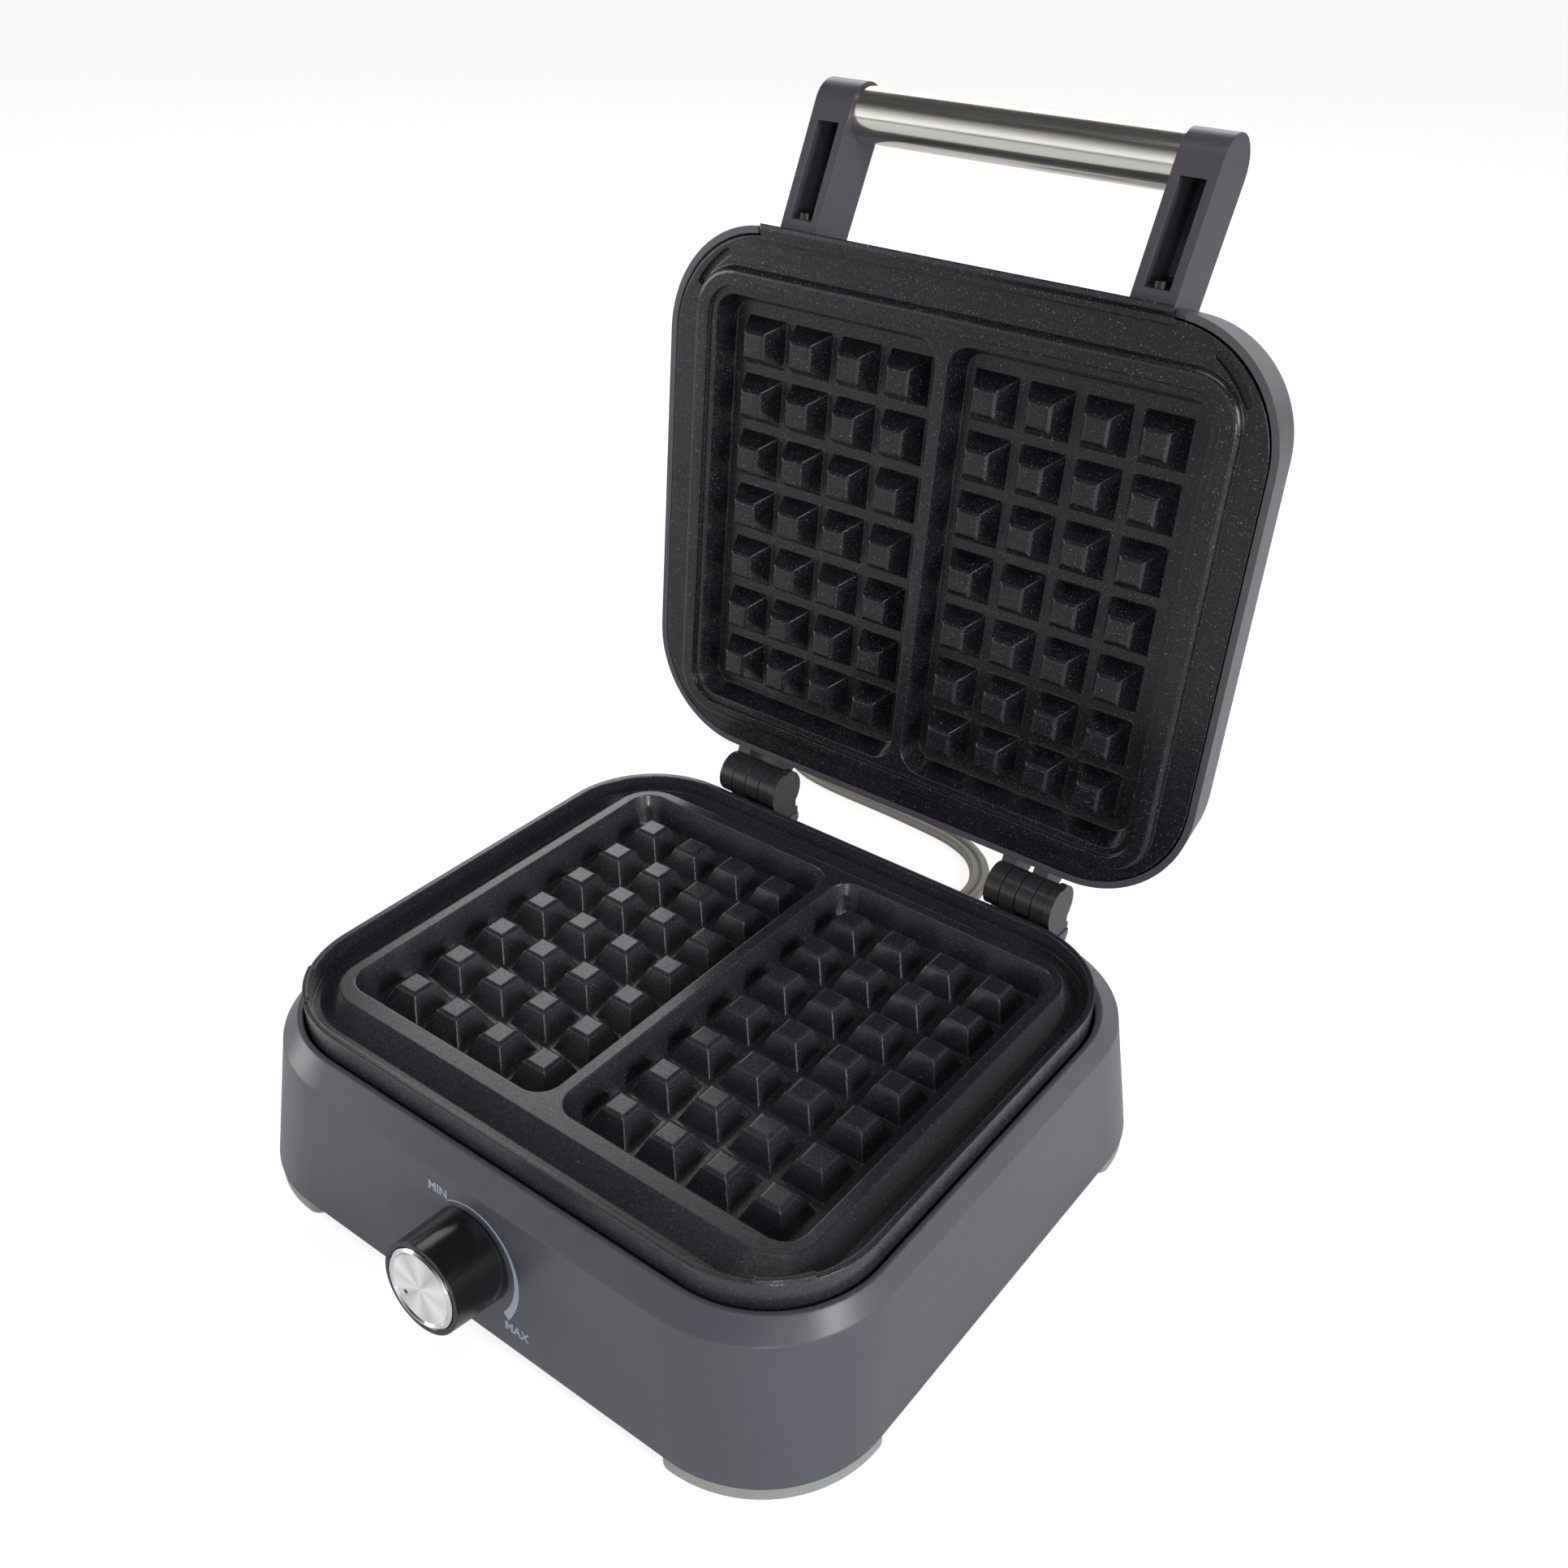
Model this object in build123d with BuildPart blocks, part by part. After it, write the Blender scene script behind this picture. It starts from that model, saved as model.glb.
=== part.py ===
from build123d import *
from math import atan2, cos, degrees, hypot, pi, radians, sin, tan
import os

os.makedirs("parts", exist_ok=True)

# Belgian waffle maker, lid open. Millimetres, +Z up, the knob looks toward -Y.
# The table is at Z 0, and X 0 is the middle of the divider between the two waffles.

# Driving dimensions
PITCH = 21.0
STUD_BASE = 17.0
STUD_TOP = 9.0
STUD_H = 9.0
STUD_EDGE = 0.8
COLS = 4
ROWS = 7
BLOCK_X = 2.5 * PITCH - 3.5
CELL_X0 = 2.2
CELL_X1 = 98.0
CELL_Y = 79.5
CELL_R = 9.0
CELL_DRAFT = 18.0

BASE_X = 129.8
BASE_Y = 120.0
BASE_R = 46.0
TOP_X = 124.0
TOP_Y = 113.2
TOP_R = 48.5
WALL = 2.5
FOOT_H = 6.3
WALL_TOP_Z = 59.0
BEVEL_TOP_Z = 65.5
MOUTH_X = 118.2
MOUTH_FRONT = -104.2
MOUTH_BACK = 99.2
COVER_T = 2.5
COVER_GAP = 0.3
FOOT_W = 10.0
FOOT_INSET = 0.3
FRAME_Y = 18.26

PLATE_X = 117.0
PLATE_FRONT = -103.0
PLATE_BACK = 98.0
PLATE_R = 40.0
LOWER_FLOOR_Z = 61.5
LOWER_LAND_Z = 73.0
LOWER_LIP_Z = 75.0
CHANNEL_Z = 68.0
LIP_T = 2.2
PLATE_T = 3.0

HINGE_Y = 109.6
HINGE_Z = 76.9
OPEN_ANGLE = 95.3
KNUCKLE_R = 8.5
DISC_R = 9.3
PIN_R = 3.0
PIN_GAP = 0.05
HINGE_X = (-62.3, 65.9)
HINGE_W = 28.6
KNUCKLE_W = 6.2
KNUCKLE_GAP = 0.5
SEAT_Z = 63.5
SEAT_BOTTOM_Z = 57.5
SEAT_SCREW_Y = 105.0
LEAF_T = 3.0
LEAF_TOP_Z = 101.0
LEAF_SCREW_Z = 96.0
STOP_GAP = 0.15

LID_X = 120.6
LID_FRONT = -103.8
LID_BACK = 99.0
LID_R = 42.0
LID_BOTTOM_Z = 80.0
LID_TOP_Z = 108.0
LID_DRAFT = 9.46
LID_ROUND = 10.0
LUG_TOP_Z = 99.0
UPPER_X = 117.6
UPPER_FRONT = -100.8
UPPER_BACK = 96.0
UPPER_R = 40.0
UPPER_LAND_Z = 78.5
UPPER_FLOOR_Z = 87.5
BEAD_Z = 77.0

TUBE_R = 9.1
TUBE_WALL = 1.0
TUBE_Y = -140.7
TUBE_Z = 110.0
TUBE_HALF = 60.5
TUBE_SEAT = 2.5
ARM_W = 15.5
ARM_R = 10.2
ARM_WALL = 3.25
ARM_SCREWS_Z = (89.6, 96.6)

ELEMENT_R = 3.25
KNOB_X = -1.0
KNOB_Z = 34.2
KNOB_R = 17.0
KNOB_L = 20.6
KNOB_GAP = 0.4
SHAFT_R = 3.0

SCREW_R = 1.8
SCREW_CLEAR = 0.4
HEAD_R = 3.4
HEAD_H = 2.2
SMALL_HEAD_R = 2.6
POST_X = 96.0
POST_Y = 78.0
POST_R = 6.0

CORD_LOBE_R = 2.4
CORD_LOBE_X = 2.3
CORD_Z = CORD_LOBE_R
CORD_EXIT_Z = 18.0
COIL_R = 70.0
COIL_PITCH = 11.0
COIL_HALVES = 4
COIL_TURN_R = 32.0
COIL_TURN = 130.0
COIL_END = 12.0
PLUG_L = 30.0
PLUG_W = 24.0
PLUG_H = 12.0

# The lid's frame: sketch numbers are those of the closed lid, turned about the hinge
LID_Y_DIR = Vector(0, cos(radians(OPEN_ANGLE)), -sin(radians(OPEN_ANGLE)))
LID_Z_DIR = Vector(0, sin(radians(OPEN_ANGLE)), cos(radians(OPEN_ANGLE)))
HINGE = Vector(0, HINGE_Y, HINGE_Z)
LID_ORIGIN = HINGE - LID_Y_DIR * HINGE_Y - LID_Z_DIR * HINGE_Z
LID = Plane(origin=LID_ORIGIN, x_dir=(1, 0, 0), z_dir=LID_Z_DIR)


def lid_side(x):
    """Plane across the lid at x, whose sketch numbers are closed Y and Z."""
    return Plane(origin=LID_ORIGIN + Vector(x, 0, 0), x_dir=LID_Y_DIR, z_dir=(1, 0, 0))


def lid_front(y):
    """Plane facing the closed lid's back, whose sketch numbers are X and minus closed Z."""
    return Plane(origin=LID_ORIGIN + LID_Y_DIR * y, x_dir=(1, 0, 0), z_dir=LID_Y_DIR)


def finish(builder, name):
    """Label a piece, move it to the shared origin and write it."""
    piece = builder.part.moved(Location((0, -FRAME_Y, 0)))
    piece.label = name
    export_step(piece, f"parts/{name}.step")


def oblong(half_x, front, back, radius):
    """Rounded rectangle from front to back, in the sketch that is open."""
    with Locations((0, (front + back) / 2)):
        RectangleRounded(2 * half_x, back - front, radius)


def oblong_block(plane, half_x, front, back, radius, height, mode=Mode.ADD, taper=0.0):
    """Block on a rounded rectangle, in the part that is open."""
    with BuildSketch(plane) as outline:
        oblong(half_x, front, back, radius)
    extrude(outline.sketch, amount=height, taper=taper, mode=mode)


def wall_at(z):
    """Half sizes and corner radius of the housing's drafted wall at height z."""
    share = (z - FOOT_H) / (WALL_TOP_Z - FOOT_H)
    ends = ((BASE_X, TOP_X), (BASE_Y, TOP_Y), (BASE_R, TOP_R))
    return [low + (high - low) * share for low, high in ends]


def wall_block(low_z, high_z, inset, mode=Mode.ADD):
    """Drafted block between two heights, inset from the housing's wall, in the part that is open."""
    outlines = []
    for z in (low_z, high_z):
        half_x, half_y, radius = wall_at(z)
        with BuildSketch(Plane.XY.offset(z)) as outline:
            oblong(half_x - inset, inset - half_y, half_y - inset, radius - inset)
        outlines.append(outline.sketch)
    loft(outlines, mode=mode)


def stud_centres():
    """Centres of the studs of both waffles."""
    xs = [side * (CELL_MID + (i - (COLS - 1) / 2) * PITCH) for side in (-1, 1) for i in range(COLS)]
    return [(x, (j - (ROWS - 1) / 2) * PITCH) for x in xs for j in range(ROWS)]


CELL_MID = BLOCK_X
BLOCK_TAPER = degrees(atan2((STUD_BASE - STUD_TOP) / 2, STUD_H))

# One stud, drawn base down, with its edges broken
with BuildPart() as stud:
    with BuildSketch():
        Rectangle(STUD_BASE, STUD_BASE)
    extrude(amount=STUD_H, taper=BLOCK_TAPER)
    chamfer(stud.edges().filter_by(Axis.Z, reverse=True).group_by(Axis.Z)[-1], STUD_EDGE)
STUD = stud.part


def studs_on(plane, floor_z, up):
    """All the studs, standing on a floor of the given plane, in the part that is open."""
    for x, y in stud_centres():
        spot = plane.location * Location((x, y, floor_z))
        turned = spot if up else spot * Location((0, 0, 0), (180, 0, 0))
        add(turned * STUD)


def cells_from(plane, land_z, depth, up):
    """Cut the two waffle hollows from a land plane, in the part that is open."""
    with BuildSketch(plane.offset(land_z)) as outline:
        with Locations(((CELL_X0 + CELL_X1) / 2, 0), (-(CELL_X0 + CELL_X1) / 2, 0)):
            RectangleRounded(CELL_X1 - CELL_X0, 2 * CELL_Y, CELL_R)
    extrude(outline.sketch, amount=-depth if up else depth, taper=CELL_DRAFT, mode=Mode.SUBTRACT)


# The front wall leans back, and the knob stands square on it
WALL_TILT = atan2(BASE_Y - TOP_Y, WALL_TOP_Z - FOOT_H)
WALL_DEEP = WALL * cos(WALL_TILT)
KNOB = Plane(
    origin=(KNOB_X, -wall_at(KNOB_Z)[1], KNOB_Z), x_dir=(1, 0, 0), z_dir=(0, -cos(WALL_TILT), sin(WALL_TILT))
)
POSTS = [(x, y) for x in (-POST_X, POST_X) for y in (-POST_Y, POST_Y)]
SEAT_BACK = HINGE_Y + KNUCKLE_R - 0.5


def knob_disc(radius, start, depth, mode=Mode.ADD, taper=0.0):
    """Disc about the knob's axis from a distance in front of the wall, in the part that is open."""
    with BuildSketch(KNOB.offset(start)) as outline:
        Circle(radius)
    extrude(outline.sketch, amount=depth, taper=taper, mode=mode)


def pegs(spots, radius, low_z, height, mode=Mode.ADD):
    """Upright cylinders at the given places, in the part that is open."""
    with Locations(*[(x, y, low_z) for x, y in spots]):
        Cylinder(radius, height, align=(Align.CENTER, Align.CENTER, Align.MIN), mode=mode)


def knuckle_start(hinge_x, k):
    """Left end of knuckle k of a hinge."""
    return hinge_x - HINGE_W / 2 + k * (KNUCKLE_W + KNUCKLE_GAP)


def hinge_screw_xs(hinge_x):
    """Places along a hinge where its screws pass beside the lid's knuckles."""
    return [knuckle_start(hinge_x, 1) + KNUCKLE_W / 2, knuckle_start(hinge_x, 3) + KNUCKLE_W / 2]


SEAT_SCREWS = [(x, SEAT_SCREW_Y) for hinge_x in HINGE_X for x in hinge_screw_xs(hinge_x)]

# The drafted block that the housing fills, and one that ends within its wall
with BuildPart() as housing_form:
    wall_block(FOOT_H, WALL_TOP_Z, 0)
with BuildPart() as wall_middle:
    wall_block(FOOT_H, WALL_TOP_Z, WALL / 2)

# Base housing: a moulded shell, open at the bottom, with a mouth for the lower plate
with BuildPart() as base_housing:
    add(housing_form.part)
    with BuildSketch(Plane.XY.offset(WALL_TOP_Z)):
        oblong(TOP_X, -TOP_Y, TOP_Y, TOP_R)
    with BuildSketch(Plane.XY.offset(BEVEL_TOP_Z)):
        oblong(MOUTH_X + 1.6, MOUTH_FRONT - 1.6, MOUTH_BACK + 3.0, 42.0)
    loft()
    wall_block(FOOT_H, SEAT_BOTTOM_Z, WALL, Mode.SUBTRACT)
    oblong_block(
        Plane.XY.offset(WALL_TOP_Z - 2), MOUTH_X, MOUTH_FRONT, MOUTH_BACK, PLATE_R + 1.0, 20, Mode.SUBTRACT
    )
    for hinge_x in HINGE_X:
        with BuildSketch(Plane.YZ.offset(hinge_x - HINGE_W / 2 - 0.5)) as cut:
            with Locations((MOUTH_BACK + 10, SEAT_Z + 5)):
                Rectangle(20, 10)
        extrude(cut.sketch, amount=HINGE_W + 1, mode=Mode.SUBTRACT)
        with BuildSketch(Plane.YZ.offset(hinge_x - HINGE_W / 2 - 0.5)) as seat:
            with BuildLine():
                Polyline(
                    (MOUTH_BACK, SEAT_BOTTOM_Z), (MOUTH_BACK, SEAT_Z), (SEAT_BACK, SEAT_Z), (SEAT_BACK, SEAT_Z - 2.5),
                    (wall_at(52)[1] - WALL / 2, 52), (wall_at(SEAT_BOTTOM_Z)[1] - WALL / 2, SEAT_BOTTOM_Z), close=True,
                )
            make_face()
        extrude(seat.sketch, amount=HINGE_W + 1)
    for x, y in POSTS:
        with Locations(((x + (BASE_X if x > 0 else -BASE_X)) / 2, y, FOOT_H + COVER_T + 2)):
            rib = Box(
                BASE_X - POST_X, 3, 48 - FOOT_H - COVER_T - 2,
                align=(Align.CENTER, Align.CENTER, Align.MIN), mode=Mode.PRIVATE,
            )
        add(rib & wall_middle.part)
    pegs(POSTS, POST_R, FOOT_H + COVER_T, 50 - FOOT_H - COVER_T)
    pegs(POSTS, SCREW_R + SCREW_CLEAR, 0, 60, Mode.SUBTRACT)
    pegs(SEAT_SCREWS, SCREW_R + SCREW_CLEAR, 40, 30, Mode.SUBTRACT)
    knob_disc(5.2, -WALL - 5, 10, Mode.SUBTRACT)
    with BuildSketch(Plane.XZ.offset(-wall_at(CORD_EXIT_Z)[1] - 5)):
        with Locations((0, CORD_EXIT_Z)):
            RectangleRounded(14.4, 9.4, 3.0)
    extrude(amount=12, mode=Mode.SUBTRACT)
finish(base_housing, "base_housing")

# Bottom cover, screwed up against the posts
with BuildPart() as bottom_cover:
    wall_block(FOOT_H, FOOT_H + COVER_T, WALL + COVER_GAP)
    pegs(POSTS, SCREW_R + SCREW_CLEAR, 0, 20, Mode.SUBTRACT)
    with Locations(*[(x, y, 0) for x in (-40, 40) for y in range(-60, 61, 12)]):
        Box(30, 3, 40, mode=Mode.SUBTRACT)
finish(bottom_cover, "bottom_cover")

# Four feet that follow the rounded corners
with BuildPart() as feet:
    for sx in (-1, 1):
        for sy in (-1, 1):
            middle = degrees(atan2(sy, sx))
            centre = (sx * (BASE_X - BASE_R), sy * (BASE_Y - BASE_R))
            with BuildSketch():
                with BuildLine():
                    arc = CenterArc(centre, BASE_R - FOOT_INSET - FOOT_W / 2, middle - 45, 90)
                SlotArc(arc, FOOT_W)
            extrude(amount=FOOT_H)
    chamfer(feet.edges().group_by(Axis.Z)[0], 0.8)
finish(feet, "feet")

# Lower plate: cast aluminium with two waffle hollows, a ridge, a drip channel and a lip
with BuildPart() as lower_plate:
    oblong_block(Plane.XY.offset(60), PLATE_X, PLATE_FRONT, PLATE_BACK, PLATE_R, LOWER_LIP_Z - 60)
    oblong_block(
        Plane.XY.offset(CHANNEL_Z), PLATE_X - LIP_T, PLATE_FRONT + LIP_T, PLATE_BACK - LIP_T,
        PLATE_R - LIP_T, 20, Mode.SUBTRACT,
    )
    with BuildSketch(Plane.XY.offset(CHANNEL_Z)):
        oblong(109.0, -94.5, 90.0, 24.0)
    with BuildSketch(Plane.XY.offset(LOWER_LAND_Z)):
        oblong(102.0, -86.0, 83.5, 15.0)
    loft()
    oblong_block(Plane.XY.offset(LOWER_FLOOR_Z - PLATE_T), 102, -84, 84, 20, 3)
    cells_from(Plane.XY, LOWER_LAND_Z, LOWER_LAND_Z - LOWER_FLOOR_Z, True)
    studs_on(Plane.XY, LOWER_FLOOR_Z, True)
    for sx in (-1, 1):
        with BuildSketch(Plane.XY.offset(LOWER_LIP_Z - 1)):
            with BuildLine():
                tab = CenterArc((sx * (PLATE_X - PLATE_R), PLATE_FRONT + PLATE_R), PLATE_R - LIP_T / 2,
                                -45 - 12 if sx > 0 else -135 - 12, 24)
            SlotArc(tab, LIP_T - 0.4)
        extrude(amount=2.4)
    pegs(POSTS, 5, 50, 11)
    with Locations((0, -40, 52), (0, 40, 52)):
        Cylinder(4, 7.5, align=(Align.CENTER, Align.CENTER, Align.MIN))
    pegs(POSTS, SCREW_R + 0.03, 50, 9.5, Mode.SUBTRACT)
    with Locations((0, -40, 51), (0, 40, 51)):
        Cylinder(1.53, 7.5, align=(Align.CENTER, Align.CENTER, Align.MIN), mode=Mode.SUBTRACT)
finish(lower_plate, "lower_plate")


def element(plane, middle_z, half_x, half_y):
    """Sheathed heating element, one open loop, in the part that is open."""
    with BuildLine(plane.offset(middle_z)) as loop:
        FilletPolyline(
            (20, half_y), (half_x, half_y), (half_x, -half_y), (-half_x, -half_y), (-half_x, half_y), (-20, half_y),
            radius=20,
        )
    start = plane.location * Location((20, half_y, middle_z))
    with BuildSketch(Plane(origin=start.position, x_dir=plane.y_dir, z_dir=(1, 0, 0))) as outline:
        Circle(ELEMENT_R)
    sweep(outline.sketch, path=loop.line)


with BuildPart() as lower_heating_element:
    element(Plane.XY, LOWER_FLOOR_Z - PLATE_T - ELEMENT_R, 82, 58)
finish(lower_heating_element, "lower_heating_element")

# Sheet metal that keeps the heat up, screwed to the two middle bosses of the plate
with BuildPart() as lower_reflector:
    oblong_block(Plane.XY.offset(51.2), 90, -66, 66, 12, 0.8)
    with Locations((0, -40, 51), (0, 40, 51)):
        Cylinder(1.9, 5, mode=Mode.SUBTRACT)
finish(lower_reflector, "lower_reflector")

with BuildPart() as reflector_screws:
    for y in (-40, 40):
        with Locations((0, y, 49.4)):
            Cylinder(2.8, 1.8, align=(Align.CENTER, Align.CENTER, Align.MIN))
        with Locations((0, y, 50)):
            Cylinder(1.5, 7.5, align=(Align.CENTER, Align.CENTER, Align.MIN))
finish(reflector_screws, "reflector_screws")

# Four long screws from below hold cover, housing and plate together
with BuildPart() as base_screws:
    pegs(POSTS, HEAD_R, FOOT_H - HEAD_H, HEAD_H)
    pegs(POSTS, SCREW_R, FOOT_H - 0.5, 58 - FOOT_H)
finish(base_screws, "base_screws")

# Thermostat behind the front wall, its threaded neck through the wall
with BuildPart() as thermostat_body:
    with BuildSketch(KNOB.offset(-WALL_DEEP)):
        Rectangle(30, 24)
    extrude(amount=-20)
    knob_disc(4.8, -WALL_DEEP - 1, WALL_DEEP + 5)
    knob_disc(SHAFT_R + PIN_GAP, -WALL_DEEP - 11, 30, Mode.SUBTRACT)
finish(thermostat_body, "thermostat_body")

with BuildPart() as thermostat_nut:
    with BuildSketch(KNOB):
        RegularPolygon(8.0, 6)
        Circle(4.82, mode=Mode.SUBTRACT)
    extrude(amount=2.5)
finish(thermostat_nut, "thermostat_nut")

# Thermal fuse under the reflector and the terminal block on the cover
with BuildPart() as thermal_fuse:
    with Locations((30, 0, 51.2 - 2.5)):
        Cylinder(2.5, 26, rotation=(0, 90, 0))
finish(thermal_fuse, "thermal_fuse")

with BuildPart() as terminal_block:
    with Locations((0, 84, FOOT_H + COVER_T)):
        Box(36, 16, 14, align=(Align.CENTER, Align.CENTER, Align.MIN))
    with Locations(*[(x, 84, 17) for x in (-12, 0, 12)]):
        Cylinder(2.2, 10, align=(Align.CENTER, Align.CENTER, Align.MIN), mode=Mode.SUBTRACT)
finish(terminal_block, "terminal_block")

# The block that the lid fills, drafted, with a round top edge, drawn closed and turned open
with BuildPart() as lid_shape:
    oblong_block(LID.offset(LID_BOTTOM_Z), LID_X, LID_FRONT, LID_BACK, LID_R, LID_TOP_Z - LID_BOTTOM_Z, taper=LID_DRAFT)
    fillet(lid_shape.faces().filter_by(LID).sort_by(Axis(LID_ORIGIN, LID_Z_DIR))[-1].edges(), LID_ROUND)

# Hinges: four knuckles each, the first and third on the lid, the others on the base
TANGENT = Vector(0.72, 0.694) * KNUCKLE_R


def arm_edge(along):
    """Point near the open arm's outer edge, which the stop rib meets, along it from the knuckle."""
    run = (Vector(LID_BACK + LEAF_T - HINGE_Y, LEAF_TOP_Z - HINGE_Z) - TANGENT).normalized()
    spot = TANGENT + run * along + TANGENT.normalized() * STOP_GAP
    swing = radians(OPEN_ANGLE)
    return (
        HINGE_Y + spot.X * cos(swing) + spot.Y * sin(swing),
        HINGE_Z - spot.X * sin(swing) + spot.Y * cos(swing),
    )


def hinge_base(hinge_x):
    """Base half of a hinge: foot, two knuckles, end disc and the stop ribs."""
    left = hinge_x - HINGE_W / 2
    for k, width in ((1, KNUCKLE_W), (3, HINGE_W - 3 * (KNUCKLE_W + KNUCKLE_GAP))):
        with BuildSketch(Plane.YZ.offset(knuckle_start(hinge_x, k))) as outline:
            with Locations((HINGE_Y, HINGE_Z)):
                Circle(KNUCKLE_R)
            with Locations((HINGE_Y - 0.8, (SEAT_Z + HINGE_Z) / 2)):
                Rectangle(2 * KNUCKLE_R - 2.4, HINGE_Z - SEAT_Z)
        extrude(outline.sketch, amount=width)
    with BuildSketch(Plane.YZ.offset(left + HINGE_W - 3)) as outline:
        with Locations((HINGE_Y, HINGE_Z)):
            Circle(DISC_R)
        with Locations((HINGE_Y, HINGE_Z + DISC_R)):
            Rectangle(3, 3, mode=Mode.SUBTRACT)
    extrude(outline.sketch, amount=3)
    with BuildSketch(Plane.YZ.offset(left)) as outline:
        with Locations(((MOUTH_BACK + 1 + SEAT_BACK) / 2, SEAT_Z + 1.4)):
            Rectangle(SEAT_BACK - MOUTH_BACK - 1, 2.8)
    extrude(outline.sketch, amount=HINGE_W)
    for k in (0, 2):
        with BuildSketch(Plane.YZ.offset(knuckle_start(hinge_x, k))) as outline:
            with BuildLine():
                Polyline(
                    (SEAT_BACK - 2, SEAT_Z + 0.5), (SEAT_BACK - 2, SEAT_Z + 2.5), arm_edge(3.0), arm_edge(7.0),
                    (HINGE_Y + 11.8, HINGE_Z - 3.5), (HINGE_Y + 10.0, HINGE_Z - 7.4), (SEAT_BACK, SEAT_Z + 0.5),
                    close=True,
                )
            make_face()
        extrude(outline.sketch, amount=KNUCKLE_W)
    with BuildSketch(Plane.YZ.offset(left - 1)) as outline:
        with Locations((HINGE_Y, HINGE_Z)):
            Circle(PIN_R + PIN_GAP)
    extrude(outline.sketch, amount=HINGE_W - 1, mode=Mode.SUBTRACT)
    pegs([(x, SEAT_SCREW_Y) for x in hinge_screw_xs(hinge_x)], SCREW_R + 0.03, 60, 10.6, Mode.SUBTRACT)


def hinge_leaf(hinge_x):
    """Lid half of a hinge: two knuckles on arms from a plate on the lid's back wall."""
    with BuildSketch(lid_side(hinge_x - HINGE_W / 2)) as outline:
        with Locations((LID_BACK - 3, (LEAF_TOP_Z + 88) / 2)):
            Rectangle(2 * (LEAF_T + 3), LEAF_TOP_Z - 88)
    extrude(outline.sketch, amount=HINGE_W)
    for k in (0, 2):
        with BuildSketch(lid_side(knuckle_start(hinge_x, k))) as outline:
            with Locations((HINGE_Y, HINGE_Z)):
                Circle(KNUCKLE_R)
            with BuildLine():
                Polyline(
                    (LID_BACK - 6, HINGE_Z + 6), (LID_BACK - 6, LEAF_TOP_Z), (LID_BACK + LEAF_T, LEAF_TOP_Z),
                    (HINGE_Y + TANGENT.X, HINGE_Z + TANGENT.Y), (HINGE_Y, HINGE_Z), close=True,
                )
            make_face()
            with Locations((HINGE_Y, HINGE_Z)):
                Circle(PIN_R + PIN_GAP, mode=Mode.SUBTRACT)
        extrude(outline.sketch, amount=KNUCKLE_W)
    add(lid_shape.part, mode=Mode.SUBTRACT)
    with BuildSketch(lid_front(LID_BACK - 6)) as outline:
        with Locations(*[(x, -LEAF_SCREW_Z) for x in hinge_screw_xs(hinge_x)]):
            Circle(SCREW_R + SCREW_CLEAR)
    extrude(outline.sketch, amount=12, mode=Mode.SUBTRACT)


for side, hinge_x in zip(("left", "right"), HINGE_X):
    with BuildPart() as base_half:
        hinge_base(hinge_x)
    finish(base_half, f"hinge_base_{side}")
    with BuildPart() as lid_half:
        hinge_leaf(hinge_x)
    finish(lid_half, f"hinge_leaf_{side}")
    with BuildPart() as pin:
        with BuildSketch(Plane.YZ.offset(hinge_x - HINGE_W / 2)):
            with Locations((HINGE_Y, HINGE_Z)):
                Circle(PIN_R)
        extrude(amount=HINGE_W - 2)
    finish(pin, f"hinge_pin_{side}")

with BuildPart() as hinge_base_screws:
    pegs(SEAT_SCREWS, HEAD_R, SEAT_BOTTOM_Z - HEAD_H, HEAD_H)
    pegs(SEAT_SCREWS, SCREW_R, SEAT_BOTTOM_Z - 0.5, 13)
finish(hinge_base_screws, "hinge_base_screws")

# Lid housing: a shell of the drafted block
ARM_SCREWS = [(sx * (TUBE_HALF + ARM_W / 2), -z) for sx in (-1, 1) for z in ARM_SCREWS_Z]
LEAF_SCREWS = [(x, -LEAF_SCREW_Z) for hinge_x in HINGE_X for x in hinge_screw_xs(hinge_x)]


def lid_holes(spots, radius, start, depth, mode=Mode.SUBTRACT):
    """Round holes or pins through the closed lid's front or back wall, in the part that is open."""
    with BuildSketch(lid_front(start)) as outline:
        with Locations(*spots):
            Circle(radius)
    extrude(outline.sketch, amount=depth, mode=mode)


def lid_wall_y(wall, z):
    """Closed Y of the lid's front or back wall at height z."""
    lean = (z - LID_BOTTOM_Z) * tan(radians(LID_DRAFT))
    return wall + lean if wall < 0 else wall - lean


with BuildPart() as lid_housing:
    add(lid_shape.part)
    oblong_block(
        LID.offset(LID_BOTTOM_Z), LID_X - WALL, LID_FRONT + WALL, LID_BACK - WALL, LID_R - WALL,
        LID_TOP_Z - LID_BOTTOM_Z - WALL - 6, Mode.SUBTRACT, LID_DRAFT,
    )
    deep = LID_ROUND + 3.0
    oblong_block(
        LID.offset(LID_BOTTOM_Z), LID_X - deep, LID_FRONT + deep, LID_BACK - deep, LID_R - deep,
        LID_TOP_Z - LID_BOTTOM_Z - WALL, Mode.SUBTRACT,
    )
    with BuildSketch(lid_front(LID_FRONT - 1)):
        with Locations((0, -LID_BOTTOM_Z)):
            Rectangle(164, 2.6)
    extrude(amount=5, mode=Mode.SUBTRACT)
    lid_holes(ARM_SCREWS, SCREW_R + SCREW_CLEAR, LID_FRONT - 1, 9)
    lid_holes(LEAF_SCREWS, SCREW_R + SCREW_CLEAR, LID_BACK - 8, 9)
finish(lid_housing, "lid_housing")

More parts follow.
